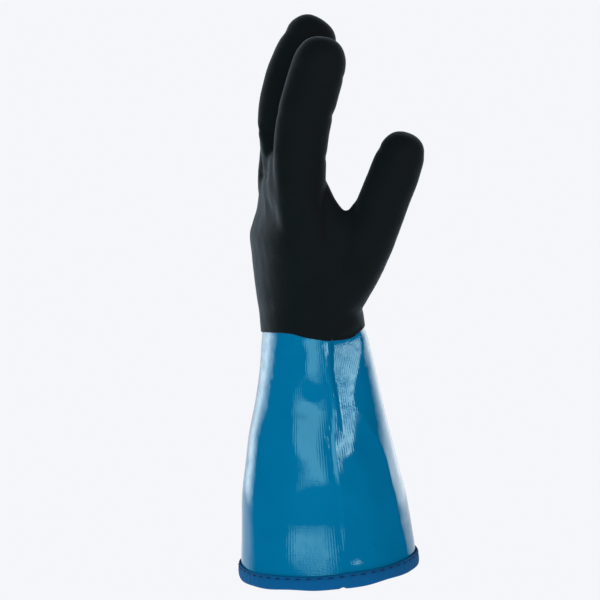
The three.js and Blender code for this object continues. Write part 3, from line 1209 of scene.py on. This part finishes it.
@dataclass
class HandCoat:
    """The hand's coat: palm and digits in one soft skin, open at the wavy lower edge.

    softened holds a place and a reach for each root that is smoothed more. The passes of
    smoothing are pairs of a factor and a number of times. The wall grows from rim_wall to
    its full thickness over rim_height.
    """

    voxel: float = 1.3
    palm_sides: int = 96
    palm_rings: int = 80
    palm_share: float = 0.8
    rim_wall: float = 0.5
    rim_height: float = 11.0
    smooth_all: tuple[float, int] = (0.5, 5)
    smooth_roots: tuple[float, int] = (0.7, 30)
    smooth_creases: tuple[float, int] = (0.5, 4)
    unevenness: tuple[Unevenness, ...] = (Unevenness(0.22, 46, 0.4), Unevenness(0.10, 17, 2.1))
    softened: tuple[tuple[float, float, float, float], ...] = (
        (-27.0, -18.0, 260.0, 14.0),
        (-28.5, -34.0, 232.0, 11.0),
        (-28.0, -22.0, 246.0, 10.0),
        (-27.0, -31.0, 240.0, 17.0),
        (-27.0, -14.0, 236.0, 15.0),
        (-10.0, 0.5, 261.0, 10.0),
        (-4.0, 27.5, 257.0, 10.0),
        (6.0, -46.0, 178.0, 12.0),
    )
    wrinkles: tuple[Wrinkle, ...] = (
        Wrinkle((-28.5, 0, 282), (-25.5, -23, 278), 2.3, -1.5),
        Wrinkle((-23.5, 10, 249), (-27, -13, 251), 2.8, -1.4),
        Wrinkle((-27, -13, 251), (-27, -22, 254), 3.0, -0.8),
        Wrinkle((-29, -4, 267), (-29, -18, 266), 6.0, 0.9),
        Wrinkle((-27, 0, 242), (-29, -16, 243), 5.0, 0.8),
        Wrinkle((-28, -14, 280), (-27, -19, 268), 4.0, 1.1),
        Wrinkle((-27, -19, 266), (-28, -30, 262), 4.5, 0.9),
        Wrinkle((-7, -6, 337), (-7, -26, 332), 3.2, -0.8),
        Wrinkle((-4, -8, 343), (-3, -22, 341), 4.5, 0.3),
        Wrinkle((30, -55, 267), (33, -69, 262), 2.4, -0.7),
        Wrinkle((61, -58, 263), (57, -72, 257), 2.4, -0.9),
        Wrinkle((-2, -52, 236), (9, -52, 226), 3.5, -0.8),
        Wrinkle((13, -20, 240), (20, -2, 222), 4.0, -0.8),
        Wrinkle((20, -2, 222), (27, 4, 200), 4.0, -0.9),
        Wrinkle((27, 4, 200), (31, -2, 178), 4.5, -0.7),
        Wrinkle((11, -16, 243), (14, 20, 237), 3.2, -0.7),
        Wrinkle((14, 20, 237), (16, 42, 228), 3.2, -0.6),
        Wrinkle((3, -50, 262), (3, -30, 262), 3.0, -0.7),
        Wrinkle((6.5, -52, 287), (6.5, -32, 287), 2.6, -0.7),
        Wrinkle((14, -52, 309), (14, -36, 309), 2.2, -0.5),
        Wrinkle((3, -22, 264), (3, -4, 264), 3.0, -0.7),
        Wrinkle((4, -22, 289), (4, -5, 289), 2.6, -0.7),
        Wrinkle((11, -22, 311), (11, -6, 311), 2.2, -0.5),
        Wrinkle((10, 6, 259), (10, 22, 259), 3.0, -0.7),
        Wrinkle((14, 8, 281), (14, 22, 281), 2.6, -0.7),
        Wrinkle((20, 9, 300), (20, 22, 300), 2.2, -0.5),
        Wrinkle((14, 34, 252), (14, 46, 252), 2.8, -0.6),
        Wrinkle((18.5, 38, 271), (18.5, 50, 271), 2.4, -0.6),
        Wrinkle((24.5, 40, 286), (24.5, 52, 286), 2.2, -0.5),
        Wrinkle((-26, -50, 291), (-26, -34, 291), 3.0, -0.4),
        Wrinkle((-17, 8, 286), (-17, 22, 286), 3.0, -0.4),
        Wrinkle((-9, 38, 273), (-9, 50, 273), 2.8, -0.4),
        Wrinkle((-31, -12, 170), (-31, 16, 165), 4.0, -0.6),
        Wrinkle((31, -16, 166), (31, 14, 172), 4.0, -0.7),
    )

    def palm_surface(self, turn: np.ndarray, share: np.ndarray) -> np.ndarray:
        """Lays the palm's skin, from below the lower edge to its rounded top.

        Args:
            turn: directions about +Z in radians.
            share: shares of the mesh's rings, from the foot at 0 to the top at 1.

        Returns:
            One point for each direction and share, in millimetres.
        """
        rows = table_of(PALM)
        top = rows[-1, 0]
        z, size = rounded_run(share, self.palm_share, rows[0, 0], top - PALM_ROUNDING, top)
        return section_points(rows, z, turn, 0.0, size)

    def build(self) -> bpy.types.Object:
        """Models the coat.

        Returns:
            A closed wall with its outer and inner face in two material slots.
        """
        coat = unit_tube("hand_coat", self.palm_sides, self.palm_rings)
        lay_tube(coat, self.palm_surface)
        close_ends(coat)
        pick(coat, *[digit.solid() for digit in DIGITS])
        bpy.ops.object.join()
        apply_modifier(coat, "REMESH", mode="VOXEL", voxel_size=self.voxel * MM)
        points = read_points(coat) / MM
        near = [
            np.exp(-((np.linalg.norm(points - place, axis=1) / reach) ** 2))
            for *place, reach in self.softened
        ]
        roots = np.max(near, axis=0)
        soften(coat, np.ones(len(points)), *self.smooth_all)
        soften(coat, roots, *self.smooth_roots)
        self._crease(coat)
        soften(coat, roots, *self.smooth_creases)
        self._cut_edge(coat)
        lay_finishes(coat, FoamCoat().material(), KnitLining().material())
        self._hollow(coat)
        shade_smooth(coat)
        return coat

    def _crease(self, coat: bpy.types.Object) -> None:
        """Presses the wrinkles into the coat, and makes it a little uneven.

        Args:
            coat: the closed skin.
        """
        points = read_points(coat) / MM
        normals = read_points(coat, "normal")
        rise = sum(each.depth * ripple(points, each.pitch, each.seed) for each in self.unevenness)
        for wrinkle in self.wrinkles:
            start = np.array(wrinkle.start)
            run = np.array(wrinkle.end) - start
            share = np.clip((points - start) @ run / (run @ run), 0, 1)
            off = np.linalg.norm(points - start - share[:, None] * run, axis=1)
            rise += wrinkle.depth * np.exp(-((off / wrinkle.width) ** 2))
        write_points(coat, (points + normals * rise[:, None]) * MM)

    def _cut_edge(self, coat: bpy.types.Object) -> None:
        """Cuts the coat off along its wavy lower edge, which then follows the sleeve.

        Args:
            coat: the closed skin.
        """
        points = read_points(coat)
        points[:, 2] -= (dip_height(turn_of(points)) - DIP_LINE) * MM
        write_points(coat, points)
        pick(coat)
        with editing(Part.VERT, selected=True):
            bpy.ops.mesh.bisect(
                plane_co=(0, 0, DIP_LINE * MM),
                plane_no=(0, 0, 1),
                clear_inner=True,
                use_fill=False,
            )
        points = read_points(coat) / MM
        turn = turn_of(points)
        over = points[:, 2] - DIP_LINE
        points[:, 2] += dip_height(turn) - DIP_LINE
        Gauntlet().follow(points, turn, over)
        write_points(coat, points * MM)

    def _hollow(self, coat: bpy.types.Object) -> None:
        """Gives the coat its wall, which thins towards the lower edge.

        Args:
            coat: the open skin.
        """
        points = read_points(coat) / MM
        height = points[:, 2] - dip_height(turn_of(points))
        set_group(coat, "wall", ease(0, self.rim_height, height))
        thinnest = self.rim_wall / HAND_WALL
        add_wall(coat, HAND_WALL, vertex_group="wall", thickness_vertex_group=thinnest)
        coat.vertex_groups.clear()


@dataclass
class Gauntlet:
    """The glossy sleeve, from its hem to the neck inside the hand coat.

    body_share of its rings lie lower than body_over above the coat's edge. Pairs of heights
    over that edge give where a change starts and ends: the sleeve is pinched by edge_inset,
    drawn in to neck_inset, and above the blend it runs along the inside of the coat.
    facet_foot counts from the facet's last row.
    """

    sides: int = 330
    rings: int = 140
    foot: float = 1.4
    body_share: float = 0.93
    body_over: float = 1.0
    edge_inset: float = 0.75
    neck_inset: float = 2.4
    pinch: tuple[float, float] = (-11.0, 0.0)
    draw_in: tuple[float, float] = (1.0, 8.0)
    blend: tuple[float, float] = (-7.0, -0.2)
    rim_reach: float = 14.0
    facet_flatness: float = 0.8
    facet_foot: tuple[float, float] = (-3.0, 4.0)
    facet_top: tuple[float, float] = (158.0, 150.0)
    crease_reach: float = 1.7
    ridge_reach: float = 7.0
    ridge_crest: float = 1.5
    fold_fade: float = 0.7

    def facet_rise(self, z: np.ndarray, degrees: np.ndarray, radius: np.ndarray) -> np.ndarray:
        """How far the facet and its two creases raise or sink the sleeve.

        Args:
            z: heights in millimetres.
            degrees: directions about +Z.
            radius: the sleeve's radius at each place.

        Returns:
            The rise at each place, in millimetres.
        """
        rows = table_of(FACET)
        at = np.interp(-z, -rows[:, 0], np.arange(len(rows)))
        left, right, low, high = smooth_rows(rows, at)[:, 1:].T
        width = np.radians(right - left) * radius
        along = np.radians(turned_from(degrees, left)) * radius
        share = np.clip(along / width, 0, 1)
        flat = share * (1 - share) * width**2 / (2 * radius)
        plane = (low + high) * share - low - self.facet_flatness * flat
        before = np.exp(-np.maximum(-along, 0) / self.crease_reach)
        after = np.exp(-((np.maximum(along - width, 0) / self.ridge_reach) ** self.ridge_crest))
        foot_start, foot_end = self.facet_foot
        foot = ease(rows[-1, 0] + foot_start, rows[-1, 0] + foot_end, z)
        return plane * before * after * (foot * ease(*self.facet_top, z))

    def fold_rise(self, z: np.ndarray, turn: np.ndarray, radius: np.ndarray) -> np.ndarray:
        """How far the facet, folds and swells raise or sink the sleeve.

        Args:
            z: heights in millimetres.
            turn: directions about +Z in radians.
            radius: the sleeve's radius at each place.

        Returns:
            The rise at each place, in millimetres.
        """
        degrees = np.degrees(turn)
        rise = self.facet_rise(z, degrees, radius)
        for fold in FOLDS:
            rows = np.array(fold.path, float)
            at = np.interp(-z, -rows[:, 0], np.arange(len(rows)))
            t = np.clip((rows[0, 0] - z) / (rows[0, 0] - rows[-1, 0]), 0, 1)
            off = turned_from(degrees, smooth_rows(rows, at)[:, 1])
            aside = np.radians(off) * radius / np.where(off < 0, fold.left, fold.right)
            ends = np.sin(math.pi * t) ** self.fold_fade
            rise += fold.depth * ends * np.exp(-(np.abs(aside) ** fold.crest))
        for swell in SWELLS:
            off = turned_from(degrees, swell.turn)
            aside = np.radians(off) * radius / swell.width
            rise += swell.depth * np.exp(-(aside**2) - ((z - swell.z) / swell.height) ** 2)
        return rise

    def follow(self, points: np.ndarray, turn: np.ndarray, over: np.ndarray) -> None:
        """Moves points near the coat's lower edge with the sleeve's folds.

        Args:
            points: places in millimetres, which are changed.
            turn: their directions about +Z in radians.
            over: how far they lie above the edge.
        """
        radius = np.hypot(points[:, 0], points[:, 1])
        rise = self.fold_rise(points[:, 2], turn, radius) * ease(self.rim_reach, 0.0, over)
        points[:, :2] *= (1 + rise / radius)[:, None]

    def outline(self, z: np.ndarray, turn: np.ndarray, inset: np.ndarray) -> np.ndarray:
        """Points on the sleeve's wall.

        Args:
            z: heights in millimetres.
            turn: directions about +Z in radians.
            inset: how far in from the outer face they lie.

        Returns:
            One point for each height and direction, in millimetres.
        """
        points = section_points(table_of(GAUNTLET), z, turn, inset)
        radius = np.hypot(points[:, 0], points[:, 1])
        points[:, :2] *= (1 + self.fold_rise(z, turn, radius) / radius)[:, None]
        return points

    def surface(self, turn: np.ndarray, share: np.ndarray) -> np.ndarray:
        """Lays the sleeve's outer face, from its foot to the top of its neck.

        Args:
            turn: directions about +Z in radians.
            share: shares of the mesh's rings, from the foot at 0 to the top at 1.

        Returns:
            One point for each direction and share, in millimetres.
        """
        palm = table_of(PALM)
        edge = dip_height(turn_of(section_points(palm, np.full(len(turn), DIP_LINE), turn)))
        top = edge + self.body_over
        lower = self.foot + (top - self.foot) * share / self.body_share
        past = share - self.body_share
        upper = top + (LAP - self.body_over) * past / (1 - self.body_share)
        z = np.where(share < self.body_share, lower, upper)
        over = z - edge
        inset = self.edge_inset * ease(*self.pinch, over)
        inset += (self.neck_inset - self.edge_inset) * ease(*self.draw_in, over)
        inside = section_points(palm, z, turn, inset)
        self.follow(inside, turn, over)
        outside = self.outline(z, turn, inset)
        return outside + (inside - outside) * ease(*self.blend, over)[:, None]

    def build(self) -> bpy.types.Object:
        """Models the sleeve.

        Returns:
            A closed wall with its outer and inner face in two material slots.
        """
        sleeve = unit_tube("gauntlet_sleeve", self.sides, self.rings)
        lay_tube(sleeve, self.surface)
        lay_finishes(sleeve, GlossCoat().material(), KnitLining().material())
        add_wall(sleeve, GAUNTLET_WALL, use_even_offset=False)
        shade_smooth(sleeve)
        return sleeve


@dataclass
class HemTape:
    """The tape folded round the gauntlet's hem, with the stitches that hold it.

    outside and inside are the heights of its two legs. It puckers between the stitches, its
    ends lap at join_angle, and its lower edge has a small notch there. Pairs of heights or
    insets give where a change starts and ends.
    """

    sleeve: Gauntlet
    sides: int = 420
    radius: float = 53.0
    section_length: float = 42.0
    outside: float = 9.0
    inside: float = 8.5
    seam_height: float = 7.4
    corner: float = 0.35
    inner_corner: float = 0.3
    groove: float = 0.30
    groove_half: float = 0.5
    crown: float = 0.15
    crown_foot: float = 3.0
    crown_top: float = 5.2
    fold_height: float = 1.2
    fold_shoulder: tuple[float, float] = (0.25, 0.55)
    bend_height: float = 0.6
    bend_inset: float = 0.5
    bend_out: float = 0.2
    outer_face: tuple[float, float] = (0.6, -0.2)
    pucker_pitch: float = 4.4
    pucker_drift: RingWave = RingWave(1.5, 3, 0.0)
    pucker_depth: float = 0.10
    pucker_change: RingWave = RingWave(0.08, 2, 2.4)
    pucker_foot: tuple[float, float] = (0.5, 4.0)
    pucker_top: tuple[float, float] = (9.4, 6.0)
    join_angle: float = -97.5
    lap_angle: float = 9.0
    lap_edge: tuple[float, float] = (-0.08, 0.0)
    lap_depth: float = 0.55
    lap_rise: float = 0.4
    notch_aside: float = 1.2
    notch_width: float = 1.4
    notch_depth: float = 0.9
    lower_edge: tuple[float, float] = (6.0, 0.0)
    lower_waves: tuple[RingWave, ...] = (RingWave(0.35, 5, 0.6), RingWave(0.22, 11, 2.0))
    upper_edge: tuple[float, float] = (5.0, 9.0)
    upper_wave: RingWave = RingWave(0.25, 7, 0.0)
    stitches: int = 51
    stitch_length: float = 3.1
    stitch_radius: float = 0.36
    stitch_end: float = 0.45
    end_size: float = 0.45
    end_sink: float = 0.15
    wander: float = 0.12
    wander_step: float = 2.4
    stitch_lift: float = 0.02
    sort_along: Triple = (1.0, 0.37, 0.11)

    def profile(self) -> np.ndarray:
        """Draws the tape's folded section, from the top of its outer leg.

        Returns:
            Heights and insets in millimetres, once round the section.
        """
        face = TAPE_WALL + GAP
        inner = GAUNTLET_WALL + GAP
        rise, back = self.fold_shoulder
        return np.array(
            [
                (self.outside, -GAP),
                (self.outside, -face + self.corner),
                (self.outside - self.corner, -face),
                (self.seam_height + self.groove_half, -face),
                (self.seam_height, -face + self.groove),
                (self.seam_height - self.groove_half, -face),
                (self.crown_top, -face - self.crown),
                (self.crown_foot, -face - self.crown),
                (self.fold_height, -face),
                (rise, -face + back),
                (0.0, -GAP),
                (0.0, inner - self.inner_corner),
                (self.inner_corner, inner + TAPE_WALL - self.inner_corner),
                (self.fold_height, inner + TAPE_WALL),
                (self.seam_height + self.groove_half, inner + TAPE_WALL),
                (self.inside, inner + TAPE_WALL - self.inner_corner),
                (self.inside, inner),
                (TAPE_WALL + self.bend_height, inner),
                (TAPE_WALL, inner - self.bend_inset),
                (TAPE_WALL, self.bend_out - GAP),
                (TAPE_WALL + self.bend_height, -GAP),
            ]
        )

    def puckers(self, turn: np.ndarray) -> np.ndarray:
        """How far the tape puckers in directions in radians."""
        spin = 2 * math.pi * (turn * self.radius) / self.pucker_pitch
        return np.cos(spin + self.pucker_drift.at(turn))

    def lap(self, degrees: np.ndarray) -> np.ndarray:
        """How much of the upper end of the tape lies over the lower one in some directions."""
        ramp = np.clip((degrees - self.join_angle) / self.lap_angle, -1, 1)
        return np.where(ramp < 0, 0.0, 1 - ramp) * ease(*self.lap_edge, ramp)

    def surface(self, turn: np.ndarray, share: np.ndarray) -> np.ndarray:
        """Lays the tape's skin along the hem.

        Args:
            turn: directions about +Z in radians.
            share: shares of the way once round the tape's section.

        Returns:
            One point for each direction and share, in millimetres.
        """
        rows = self.profile()
        ring = np.concatenate([rows, rows[:1]])
        at = share * len(rows)
        z, inset = (np.interp(at, np.arange(len(ring)), column) for column in ring.T)
        degrees = np.degrees(turn)
        lap = self.lap(degrees)
        outer = ease(*self.outer_face, inset)
        strength = self.pucker_depth + self.pucker_change.at(turn)
        pucker = outer * strength * self.puckers(turn)
        inset = inset + pucker * ease(*self.pucker_foot, z) * ease(*self.pucker_top, z)
        inset = inset - outer * self.lap_depth * lap
        notch = np.exp(-(((degrees - self.join_angle + self.notch_aside) / self.notch_width) ** 2))
        low = ease(*self.lower_edge, z)
        wave = sum(each.at(turn) for each in self.lower_waves)
        high = ease(*self.upper_edge, z) * outer
        rise = self.upper_wave.at(turn) + self.lap_rise * lap
        z = z + low * (wave + self.notch_depth * notch) + high * rise
        return self.sleeve.outline(z, turn, inset)

    def build_tape(self) -> bpy.types.Object:
        """Models the folded tape.

        Returns:
            A closed ring with a UV map in metres.
        """
        tape = unit_tube("hem_tape", self.sides, len(self.profile()) + 1)
        flat = read_points(tape)
        lay_tube(tape, self.surface)
        self._map(tape, flat)
        pick(tape)
        with editing(Part.VERT, selected=True):
            bpy.ops.mesh.remove_doubles(threshold=SEAM_WELD * MM)
            bpy.ops.mesh.normals_make_consistent(inside=False)
        apply_modifier(tape, "SUBSURF", levels=1, render_levels=1)
        lay_finishes(tape, WovenTape().material())
        shade_smooth(tape)
        return tape

    def _map(self, tape: bpy.types.Object, flat: np.ndarray) -> None:
        """Lays the UV map: metres along the tape, and across it round its section.

        Args:
            tape: the tape.
            flat: the places of its points on the unit tube.
        """
        mesh = tape.data
        uv = mesh.uv_layers.new(name="tape").data
        around = np.degrees(turn_of(flat))
        along = self.radius * MM
        across = self.section_length * MM
        for face in mesh.polygons:
            first = around[face.vertices[0]]
            for loop, vertex in zip(face.loop_indices, face.vertices):
                turned = first + turned_from(around[vertex], first)
                uv[loop].uv = (math.radians(turned) * along, flat[vertex, 2] * across)

    def build_stitches(self) -> bpy.types.Object:
        """Models one stitch and copies it round the hem.

        Returns:
            All the stitches as one object.
        """
        first = start_piece(
            "hem_stitching",
            bpy.ops.mesh.primitive_cylinder_add,
            vertices=6,
            radius=self.stitch_radius * MM,
            depth=(self.stitch_length - 2 * self.stitch_end) * MM,
            rotation=(0, math.pi / 2, 0),
        )
        with editing(Part.FACE, selected=False):
            choose(first, Part.FACE, lambda face: abs(face.normal.x) > 0.9)
            bpy.ops.mesh.extrude_region_shrink_fatten(
                TRANSFORM_OT_shrink_fatten={"value": self.stitch_end * MM}
            )
            self._taper(first)
        copies = [self._stitch_at(first, k) for k in range(1, self.stitches)]
        first.data.transform(self._stitch_place(0))
        pick(first, *copies)
        bpy.ops.object.join()
        lay_finishes(first, Thread().material())
        shade_smooth(first)
        return first

    def _taper(self, stitch: bpy.types.Object) -> None:
        """Draws both ends of a stitch together, and down towards the tape.

        Its points and faces are then sorted, which gives them the same order on each run.

        Args:
            stitch: the stitch, in edit mode.
        """
        mesh = bmesh.from_edit_mesh(stitch.data)
        for vertex in mesh.verts:
            if abs(vertex.co.x) > (self.stitch_length - self.stitch_end) / 2 * MM:
                vertex.co.y *= self.end_size
                vertex.co.z = vertex.co.z * self.end_size - self.end_sink * MM
        order = Vector(self.sort_along)
        mesh.verts.sort(key=lambda vertex: vertex.co.dot(order))
        mesh.faces.sort(key=lambda face: face.calc_center_median().dot(order))
        bmesh.update_edit_mesh(stitch.data)

    def _stitch_at(self, first: bpy.types.Object, number: int) -> bpy.types.Object:
        """Copies the first stitch to its place along the seam.

        Args:
            first: the stitch at the origin.
            number: which stitch along the seam the copy is.

        Returns:
            The copy.
        """
        copy = first.copy()
        copy.data = first.data.copy()
        copy.data.transform(self._stitch_place(number))
        bpy.context.scene.collection.objects.link(copy)
        return copy

    def _stitch_place(self, number: int) -> Matrix:
        """Where a stitch lies, with its length along the tape and its top outwards.

        Args:
            number: which stitch along the seam it is.

        Returns:
            The move from the origin to its place.
        """
        beside = np.radians(np.array([-1.0, 0.0, 1.0]))
        turn = beside + 2 * math.pi * number / self.stitches
        turn = np.mod(turn + math.pi, 2 * math.pi) - math.pi
        wander = self.wander * math.sin(number * self.wander_step)
        height = np.full(len(turn), self.seam_height + wander)
        inset = np.full(len(turn), -TAPE_WALL - GAP - self.stitch_lift)
        before, place, after = self.sleeve.outline(height, turn, inset) * MM
        along = Vector(after - before).normalized()
        out = along.cross(Vector((0, 0, 1))).normalized()
        up = out.cross(along)
        turned = Matrix((along, -up, out)).transposed().to_4x4()
        return Matrix.Translation(Vector(place)) @ turned


@dataclass(frozen=True)
class Softbox:
    """A rectangular soft light, seen from the glove in degrees.

    azimuth counts from the camera's, to the right as seen. glow is the brightness of its
    surface in its strongest colour, where the floor's is about 1. mirrored is for one that
    only shows in gloss.
    """

    name: str
    azimuth: float
    elevation: float
    across: float
    upright: float
    glow: float
    tint: Triple = WHITE
    mirrored: bool = False


@dataclass
class Studio:
    """The pale floor, the soft lights, the dark flag and the camera.

    Lengths are in metres and angles in degrees. The flag stands round the glove and is open
    from gap_start to gap_end. Below the glove it reaches in to apron, a share of its radius.
    field is the picture's width at the glove, and the camera is shifted aside and above in
    it. sensor is in millimetres.
    """

    target: Triple = (0.0, 0.0, 0.175)
    azimuth: float = -18.0
    elevation: float = 9.0
    distance: float = 1.8
    roll: float = -4.0
    field: float = 0.369
    aside: float = -0.0059
    above: float = -0.0046
    sensor: float = 36.0
    far_end: float = 60.0
    pale: Triple = (0.914, 0.922, 0.955)
    floor_size: float = 60.0
    floor_height: float = -0.25
    room: float = 0.3
    softbox_distance: float = 1.5
    flag_sides: int = 90
    flag_radius: float = 2.0
    flag_top: float = 1.6
    flag_lift: float = 0.01
    apron: float = 0.1
    gap_start: float = 112.0
    gap_end: float = 226.0
    softboxes: tuple[Softbox, ...] = (
        Softbox("front_softbox", -14.5, 8.0, 51, 28, 3.45),
        Softbox("key_softbox", 42.5, 9.0, 19, 18, 13.0, WARM, mirrored=True),
        Softbox("upper_softbox", 60.5, 20, 18.5, 16, 10.0, WARM, mirrored=True),
        Softbox("left_softbox", -134, 17, 30, 54, 3.0),
        Softbox("right_softbox", 145, 12, 42, 60, 1.1),
    )

    def floor(self) -> bpy.types.Object:
        """Makes a wide, evenly lit pale floor below the glove.

        Returns:
            The floor.
        """
        ground = start_piece(
            "studio_floor",
            bpy.ops.mesh.primitive_plane_add,
            size=self.floor_size,
            location=(0, 0, self.floor_height),
        )
        lay_finishes(ground, plain_finish("pale_floor", self.pale))
        return ground

    def flag(self) -> bpy.types.Object:
        """Makes a dark cloth round and below the glove, which shows only in its gloss.

        Returns:
            The cloth.
        """
        foot = self.floor_height + self.flag_lift
        height = self.flag_top - foot
        middle = foot + height / 2
        cloth = start_piece(
            "dark_flag",
            bpy.ops.mesh.primitive_cylinder_add,
            vertices=self.flag_sides,
            radius=self.flag_radius,
            depth=height,
            end_fill_type="NOTHING",
            location=(0, 0, middle),
        )
        with editing(Part.FACE, selected=False):
            choose(cloth, Part.FACE, self._in_gap)
            bpy.ops.mesh.delete(type="FACE")
        with editing(Part.EDGE, selected=False):
            choose(cloth, Part.EDGE, lambda edge: all(v.co.z < middle for v in edge.verts))
            bpy.ops.mesh.extrude_region()
            shrink = (self.apron, self.apron, 1)
            bpy.ops.transform.resize(value=shrink, center_override=(0, 0, foot))
        lay_finishes(cloth, plain_finish("dark_cloth"))
        cloth.visible_camera = False
        cloth.visible_diffuse = False
        cloth.visible_shadow = False
        return cloth

    def _in_gap(self, face: bmesh.types.BMFace) -> bool:
        """Whether a face of the flag lies where it is open."""
        middle = face.calc_center_median()
        azimuth = math.degrees(math.atan2(middle.x, -middle.y)) % 360
        return self.gap_start < azimuth < self.gap_end

    def surroundings(self) -> None:
        """Lights the glove dimly from all sides, as a pale room does."""
        world = bpy.data.worlds.new("studio_room")
        bpy.context.scene.world = world
        world.use_nodes = True
        behind = world.node_tree.nodes["Background"]
        behind.inputs["Color"].default_value = (*self.pale, 1.0)
        behind.inputs["Strength"].default_value = self.room

    def light(self, softbox: Softbox) -> None:
        """Adds a softbox that faces the glove and isn't seen itself.

        Args:
            softbox: its place, size and glow.
        """
        lamp = bpy.data.lights.new(softbox.name, "AREA")
        lamp.shape = "RECTANGLE"
        reach = 2 * self.softbox_distance
        lamp.size = reach * math.tan(math.radians(softbox.across / 2))
        lamp.size_y = reach * math.tan(math.radians(softbox.upright / 2))
        lamp.energy = softbox.glow * math.pi * lamp.size * lamp.size_y
        lamp.color = softbox.tint
        holder = bpy.data.objects.new(softbox.name, lamp)
        bpy.context.scene.collection.objects.link(holder)
        back = direction(self.azimuth + softbox.azimuth, softbox.elevation)
        holder.location = Vector(self.target) + back * self.softbox_distance
        holder.rotation_euler = back.to_track_quat("Z", "Y").to_euler()
        holder.visible_camera = False
        holder.visible_diffuse = not softbox.mirrored

    def camera(self) -> None:
        """Sets up the camera at the picture's angle and lean."""
        lens = bpy.data.cameras.new("camera")
        lens.sensor_width = self.sensor
        lens.lens = self.sensor * self.distance / self.field
        lens.clip_end = self.far_end
        holder = bpy.data.objects.new("camera", lens)
        bpy.context.scene.collection.objects.link(holder)
        back = direction(self.azimuth, self.elevation)
        level = back.to_track_quat("Z", "Y").to_matrix().to_4x4()
        turned = level @ Matrix.Rotation(math.radians(self.roll), 4, "Z")
        shift = turned @ Vector((self.aside, self.above, self.distance))
        holder.matrix_world = Matrix.Translation(Vector(self.target) + shift) @ turned
        bpy.context.scene.camera = holder

    def build(self) -> None:
        """Sets up the studio."""
        self.floor()
        self.flag()
        self.surroundings()
        for softbox in self.softboxes:
            self.light(softbox)
        self.camera()
        bpy.context.scene.view_settings.view_transform = "Standard"


def hand_in(piece: bpy.types.Object, slot: str, *nodes: str) -> None:
    """Lets a piece ride on the body and stand for its nodes.

    Args:
        piece: the finished piece.
        slot: not used.
        *nodes: the nodes that it replaces.
    """
    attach(piece, BODY)
    if nodes:
        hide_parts(*nodes)
    triangles = sum(len(face.vertices) - 2 for face in piece.data.polygons)
    log.info("%s: %d triangles", piece.name, triangles)


def main() -> None:
    """Builds the glove and its studio."""
    logging.basicConfig(level=logging.INFO, format="%(name)s %(message)s")
    gauntlet = Gauntlet()
    hem = HemTape(gauntlet)
    hand_in(HandCoat().build(), "hand_coat", *HAND_NODES)
    hand_in(gauntlet.build(), "gauntlet_coat", "gauntlet")
    hand_in(hem.build_tape(), "hem_tape", "hem_binding")
    hand_in(hem.build_stitches(), "hem_tape")

    Studio().build()


if __name__ == "__main__":
    main()
